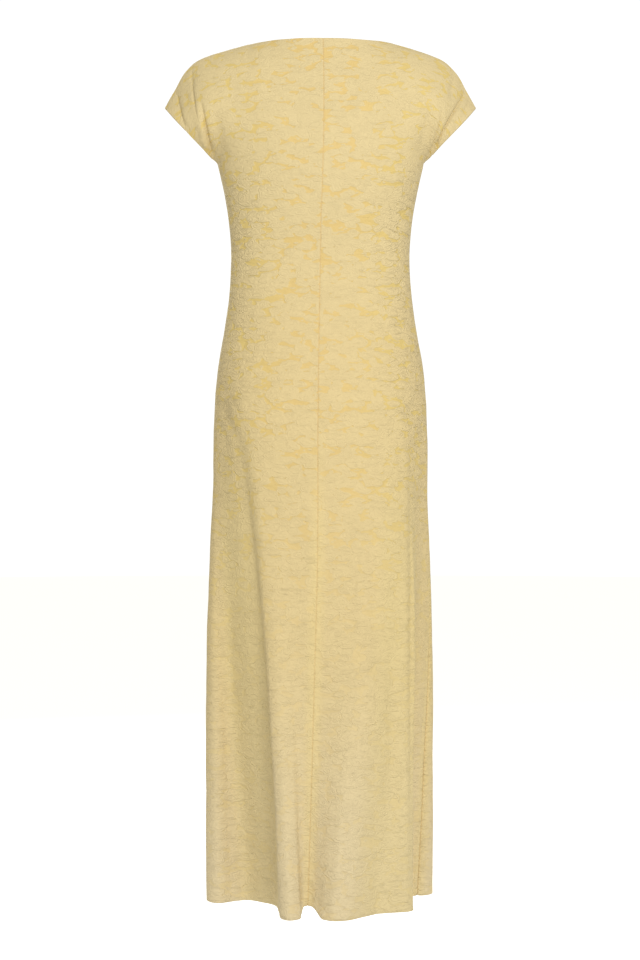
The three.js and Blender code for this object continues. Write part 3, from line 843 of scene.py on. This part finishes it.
def jersey_colour(t, ground_shows, height, side, seam):
    """The jacquard's colour. Its gold fades down the skirt; painted light lightens it beside the skirt's
    seams, and painted warm shade tints the petals in the skirt's folds.
    """
    in_skirt = t.ramp(height, *SKIRT_BEGINS)
    petals = t.blend(t.ramp(height, *HIP_COLOUR_BEGINS), MOTIF_COLOUR, HIP_MOTIF_COLOUR)
    petals = t.blend(t.ramp(height, *HEM_COLOUR_BEGINS), petals, HEM_MOTIF_COLOUR)
    # Painted warm shade in the skirt's folds.
    painted_fold_shade = t.math("MULTIPLY", t.ramp(side, *FOLD_BEGINS), t.ramp(side, *FOLD_ENDS, *FOLD_PAINTED_SHADE))
    petals = t.blend(t.math("MULTIPLY", painted_fold_shade, in_skirt), petals, FOLD_PAINTED_SHADE_COLOUR)
    ground = t.blend(t.ramp(side, *SIDE_GROUND_BEGINS), GROUND_COLOUR, SIDE_GROUND_COLOUR)
    gold = t.math("MULTIPLY", ground_shows, t.ramp(height, *GOLD_RETURNS, *GOLD_KEPT))
    colour = t.blend(gold, petals, ground)
    # Painted light beside the skirt's seams, lightening the shaded valleys there.
    painted_seam_light = t.math("MULTIPLY", in_skirt, t.ramp(seam, *SEAM_PAINTED_LIGHT_REACH, *SEAM_PAINTED_LIGHT))
    colour = t.blend(painted_seam_light, colour, SEAM_PAINTED_LIGHT_COLOUR)
    line = t.math("MULTIPLY", t.ramp(seam, *LINE_REACH), t.ramp(height, *SKIRT_BEGINS, *SEAM_LINE))
    return t.blend(line, colour, SEAM_COLOUR)


def jersey_relief(t, petals, ripple, cut, height, side, seam):
    """The jacquard's relief. The petals stand out more towards the sides, where the jersey is looser."""
    loose = t.math("MULTIPLY", t.ramp(side, *LOOSE_BEGINS), t.ramp(height, *BODICE_BEGINS))
    loose = t.math("MULTIPLY", loose, t.ramp(height, *HIPS_END))
    in_height = t.ramp(height, *SKIRT_RELIEF_BEGINS, *PETALS_RAISED)
    raised = t.math("MULTIPLY", petals, t.math("MULTIPLY_ADD", loose, LOOSE_RAISED, in_height))
    raised = t.math("MULTIPLY_ADD", ripple, RIPPLE_HEIGHT, raised)
    pucker = t.math("MULTIPLY", t.grain(cut, PUCKERS, 1.0, 0.5), t.ramp(seam, *PUCKER_REACH))
    in_skirt = t.ramp(height, *SKIRT_BEGINS)
    drawn_up = t.math("MULTIPLY", in_skirt, t.ramp(side, *SIDE_PUCKER_BEGINS, *SIDE_PUCKER_HEIGHT))
    pucker = t.math("MULTIPLY", pucker, t.math("ADD", drawn_up, PUCKER_HEIGHT))
    raised = t.math("ADD", pucker, raised)
    # The wrong side of the jersey is smoother.
    inside = t.add("ShaderNodeAttribute", attribute_name="inside").outputs["Fac"]
    return t.math("MULTIPLY", raised, t.ramp(inside, 0, 1, *INSIDE_RAISED))


def jersey_material(name, jacquard, knit):
    material = bpy.data.materials.new(name)
    material.use_nodes = True
    tree = material.node_tree
    tree.nodes.clear()
    t = Tree(tree)
    cut = t.add("ShaderNodeUVMap", uv_map="cut").outputs[0]
    motif = t.add("ShaderNodeGroup", node_tree=jacquard)
    tree.links.new(cut, motif.inputs["Cut"])
    motif.inputs["Petal Width"].default_value = PETAL_WIDTH
    motif.inputs["Petal Height"].default_value = PETAL_HEIGHT
    fine = t.add("ShaderNodeGroup", node_tree=knit)
    tree.links.new(cut, fine.inputs["Cut"])
    seam = t.add("ShaderNodeAttribute", attribute_name="seam").outputs["Fac"]
    side = t.add("ShaderNodeAttribute", attribute_name="side").outputs["Fac"]
    height = t.add("ShaderNodeSeparateXYZ", {0: cut}).outputs[1]
    ground_shows = motif.outputs["Ground"]
    ripple = fine.outputs["Ripple"]
    colour = jersey_colour(t, ground_shows, height, side, seam)
    mottled = t.ramp(fine.outputs["Mottle"], *KNIT_RANGE, *MOTTLE_SHADE)
    shade = t.math("MULTIPLY", t.ramp(ripple, *KNIT_RANGE, *RIPPLE_SHADE), mottled)
    shaded = t.add("ShaderNodeVectorMath", {0: colour, "Scale": shade}, operation="SCALE").outputs[0]
    relief = jersey_relief(t, motif.outputs["Relief"], ripple, cut, height, side, seam)
    bump = t.add("ShaderNodeBump", {"Height": relief, "Strength": 1.0, "Distance": MILLIMETRE})
    shader = t.add("ShaderNodeBsdfPrincipled", {
        "Base Color": shaded, "Roughness": t.ramp(ground_shows, 0, 1, *PETAL_ROUGHNESS),
        "Normal": bump.outputs[0], "Specular IOR Level": 0.32,
        "Sheen Weight": 0.12, "Sheen Roughness": 0.4, "Sheen Tint": (1, 0.93, 0.74, 1),
    })
    output = t.add("ShaderNodeOutputMaterial")
    tree.links.new(shader.outputs[0], output.inputs["Surface"])
    return material


# The stitches that hold the turned edges on the inside of the cloth, and how far from the edge they run.
STITCH_SPACING = 0.005
STITCH_LENGTH = 0.0042
STITCH_THICKNESS = 0.0008
STITCH_SLANT = 0.5
STITCH_UNEVENNESS = (0.85, 1.15)
STITCH_SEED = 7
HEM_LINE = 0.019
EDGE_LINE = 0.0085
THREAD_COLOUR = (0.56, 0.42, 0.19, 1)


def thread_material():
    material = bpy.data.materials.new("hem_thread")
    material.use_nodes = True
    shader = material.node_tree.nodes["Principled BSDF"]
    shader.inputs["Base Color"].default_value = THREAD_COLOUR
    shader.inputs["Roughness"].default_value = 0.6
    return material


def at_distance(points, out, distances, wanted):
    """Points and outward directions at a wanted distance along each row of three arrays."""
    line, directions = [], []
    for row_points, row_out, row_distances in zip(points, out, distances):
        line.append([np.interp(wanted, row_distances, row_points[:, k]) for k in range(3)])
        directions.append([np.interp(wanted, row_distances, row_out[:, k]) for k in range(3)])
    return np.array(line), unit(np.array(directions))


def stitch_lines(cloth):
    """The lines of stitches on the inside: along the hem, the neckline and each sleeve hem."""
    inner, out = cloth.inner, outward(cloth.inner)
    up = run_lengths(inner, 0)
    flipped = inner[::-1]
    down = run_lengths(flipped, 0)
    on_neck = cloth.shares <= NECK_SHARE + TINY
    lines = [at_distance(inner.swapaxes(0, 1), out.swapaxes(0, 1), up.T, HEM_LINE)]
    neck = [grid.swapaxes(0, 1)[on_neck] for grid in (flipped, out[::-1], down)]
    lines.append(at_distance(*neck, EDGE_LINE))
    sleeve = slice(UNDERARM_ROW + 1, -1)
    for border, order in ((0, 1), (-1, -1)):
        if cloth.shares[border] == 1:
            rows = inner[sleeve, ::order]
            lines.append(at_distance(rows, out[sleeve, ::order], run_lengths(rows, 1), EDGE_LINE))
    return lines


def stitch_tree():
    """Slanted stitches set along lines, each an elongated bead of thread."""
    sockets = {"Lines": "Geometry", "Spacing": "Float", "Length": "Float", "Thickness": "Float",
               "Slant": "Float", "Seed": "Int", "Thread": "Material"}
    tree = node_group("hem_stitches", "GeometryNodeTree", sockets, {"Stitches": "Geometry"})
    t = Tree(tree)
    given = t.add("NodeGroupInput").outputs
    curve = t.add("GeometryNodeMeshToCurve", {"Mesh": given["Lines"]}).outputs[0]
    evenly = t.add("GeometryNodeResampleCurve", {"Curve": curve, "Length": given["Spacing"]}, mode="LENGTH")
    bead = t.add("GeometryNodeMeshUVSphere", {"Segments": 8, "Rings": 5, "Radius": 0.5}).outputs["Mesh"]
    size = t.add("ShaderNodeCombineXYZ", {0: given["Length"], 1: given["Thickness"], 2: given["Thickness"]})
    stitch = t.add("GeometryNodeTransform", {"Geometry": bead, "Scale": size.outputs[0]}).outputs[0]
    tangent = t.add("GeometryNodeInputTangent").outputs[0]
    along = t.add("FunctionNodeAlignRotationToVector", {"Vector": tangent}, axis="X").outputs[0]
    out = t.add("GeometryNodeInputNamedAttribute", {"Name": "out"}, data_type="FLOAT_VECTOR").outputs[0]
    flat = t.add("FunctionNodeAlignRotationToVector", {"Rotation": along, "Vector": out},
                 axis="Z", pivot_axis="X")
    low, high = STITCH_UNEVENNESS
    uneven = t.add("FunctionNodeRandomValue", {2: low, 3: high, "Seed": given["Seed"]}, data_type="FLOAT")
    slant = t.math("MULTIPLY", given["Slant"], uneven.outputs[1])
    lean = t.add("FunctionNodeAxisAngleToRotation", {"Axis": (0, 0, 1), "Angle": slant}).outputs[0]
    turned = t.add("FunctionNodeRotateRotation", {"Rotation": flat.outputs[0], "Rotate By": lean},
                   rotation_space="LOCAL")
    placed = t.add("GeometryNodeInstanceOnPoints", {
        "Points": evenly.outputs[0], "Instance": stitch, "Rotation": turned.outputs[0]})
    real = t.add("GeometryNodeRealizeInstances", {"Geometry": placed.outputs[0]})
    sewn = t.add("GeometryNodeSetMaterial", {"Geometry": real.outputs[0], "Material": given["Thread"]})
    t.add("NodeGroupOutput", {"Stitches": sewn.outputs[0]})
    return tree


def add_stitches(name, cloth, tree, thread):
    points, out, edges = [], [], []
    for line, directions in stitch_lines(cloth):
        first = len(points)
        points.extend((line - directions * STITCH_THICKNESS / 4).tolist())
        out.extend(directions.tolist())
        edges.extend((k, k + 1) for k in range(first, len(points) - 1))
    mesh = bpy.data.meshes.new(name + "_lines")
    mesh.from_pydata(points, edges, [])
    attribute = mesh.attributes.new("out", "FLOAT_VECTOR", "POINT")
    attribute.data.foreach_set("vector", np.array(out, np.float32).reshape(-1))
    lines = bpy.data.objects.new(name + "_lines", mesh)
    scene.collection.objects.link(lines)
    modifier = lines.modifiers.new("stitches", "NODES")
    modifier.node_group = tree
    given = {"Spacing": STITCH_SPACING, "Length": STITCH_LENGTH, "Thickness": STITCH_THICKNESS,
             "Slant": STITCH_SLANT, "Seed": STITCH_SEED, "Thread": thread}
    for socket in tree.interface.items_tree:
        if socket.in_out == "INPUT" and socket.name in given:
            modifier[socket.identifier] = given[socket.name]
    finished = lines.evaluated_get(bpy.context.evaluated_depsgraph_get())
    stitches = bpy.data.objects.new(name, bpy.data.meshes.new_from_object(finished))
    bpy.data.objects.remove(lines)
    bpy.data.meshes.remove(mesh)
    scene.collection.objects.link(stitches)
    return stitches


# The camera stands behind the dress at half its height, as in the photograph.
CAMERA_PLACE = (0.0008, 2.736, -0.660)
LENS = 66.2
SENSOR_WIDTH = 36


def add_camera():
    data = bpy.data.cameras.new("camera")
    data.lens = LENS
    data.sensor_width = SENSOR_WIDTH
    camera = bpy.data.objects.new("camera", data)
    camera.location = CAMERA_PLACE
    camera.rotation_euler = (math.pi / 2, 0, math.pi)
    scene.collection.objects.link(camera)
    scene.camera = camera


# The floor lies well below the hem, so that the dress hangs clear of it.
FLOOR_Z = -1.56
FLOOR_RADIUS = 14.0
FLOOR_CORNERS = 64
FLOOR_GLOW = 0.45


def add_floor():
    """A plain white floor, wide enough to run out of sight."""
    points = []
    for k in range(FLOOR_CORNERS):
        angle = 2 * math.pi * k / FLOOR_CORNERS
        points.append((FLOOR_RADIUS * math.cos(angle), FLOOR_RADIUS * math.sin(angle), FLOOR_Z))
    mesh = bpy.data.meshes.new("floor")
    mesh.from_pydata(points, [], [list(range(FLOOR_CORNERS))])
    floor = bpy.data.objects.new("floor", mesh)
    scene.collection.objects.link(floor)
    paper = bpy.data.materials.new("white_paper")
    paper.use_nodes = True
    t = Tree(paper.node_tree)
    shader = paper.node_tree.nodes["Principled BSDF"]
    shader.inputs["Base Color"].default_value = (0.9, 0.9, 0.9, 1)
    shader.inputs["Roughness"].default_value = 0.9
    shader.inputs["Specular IOR Level"].default_value = 0
    shader.inputs["Emission Color"].default_value = (1, 1, 1, 1)
    seen = t.add("ShaderNodeLightPath").outputs["Is Camera Ray"]
    paper.node_tree.links.new(t.math("MULTIPLY", seen, FLOOR_GLOW), shader.inputs["Emission Strength"])
    mesh.materials.append(paper)


# One soft light stands behind the dress, where the camera is, and its like stands before the front.
KEY_PLACE = (-0.7, 3.0, 0.85)
FRONT_KEY_PLACE = (0.7, -3.0, 0.85)
KEY_AIM = (0, 0, -0.45)
KEY_SIZE = (1.2, 1.6)
KEY_POWER = 73

# The pale studio round the dress: its light, and the white that the camera sees.
WORLD_LIGHT = 0.64
WORLD_COLOUR = (1, 0.975, 0.885, 1)
WHITE = 1.06


def add_light(name, place):
    data = bpy.data.lights.new(name, "AREA")
    data.shape = "RECTANGLE"
    data.size, data.size_y = KEY_SIZE
    data.energy = KEY_POWER
    light = bpy.data.objects.new(name, data)
    light.location = place
    aim = Vector(KEY_AIM) - Vector(place)
    light.rotation_euler = aim.to_track_quat("-Z", "Y").to_euler()
    scene.collection.objects.link(light)


def add_world():
    world = bpy.data.worlds.new("studio")
    world.use_nodes = True
    t = Tree(world.node_tree)
    background = world.node_tree.nodes["Background"]
    seen = t.add("ShaderNodeLightPath").outputs["Is Camera Ray"]
    world.node_tree.links.new(t.blend(seen, WORLD_COLOUR, (1, 1, 1, 1)), background.inputs["Color"])
    strength = t.math("MULTIPLY_ADD", seen, WHITE - WORLD_LIGHT, WORLD_LIGHT)
    world.node_tree.links.new(strength, background.inputs["Strength"])
    scene.world = world
    scene.view_settings.view_transform = "Standard"
    scene.view_settings.look = "None"


add_camera()
add_floor()
add_light("key", KEY_PLACE)
add_light("front_key", FRONT_KEY_PLACE)
add_world()

# Each piece is cut from its own place on the patterned cloth.
front_halves = [Half(LEFT, FRONT, FRONT_LEFT_FOLDS), Half(RIGHT, FRONT, FRONT_RIGHT_FOLDS)]
pieces = {
    "back_left": Cloth([Half(LEFT, BACK, BACK_LEFT_FOLDS)], BACK_COLUMNS, 0.0),
    "back_right": Cloth([Half(RIGHT, BACK, BACK_RIGHT_FOLDS)], BACK_COLUMNS, 0.61),
    "front": Cloth(front_halves, FRONT_COLUMNS, 1.37),
}

jacquard = jacquard_group()
knit = knit_group()
sewing = stitch_tree()
thread = thread_material()
join_seams(pieces["back_left"], pieces["back_right"], pieces["front"])
for node, cloth in pieces.items():
    cloth.wrinkle()
    piece = wall_mesh(node + "_jersey", cloth)
    piece.data.materials.append(jersey_material(node + "_jacquard", jacquard, knit))
    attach(piece, "root")
    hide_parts(node)
    stitches = add_stitches(node + "_stitches", cloth, sewing, thread)
    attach(stitches, "root")
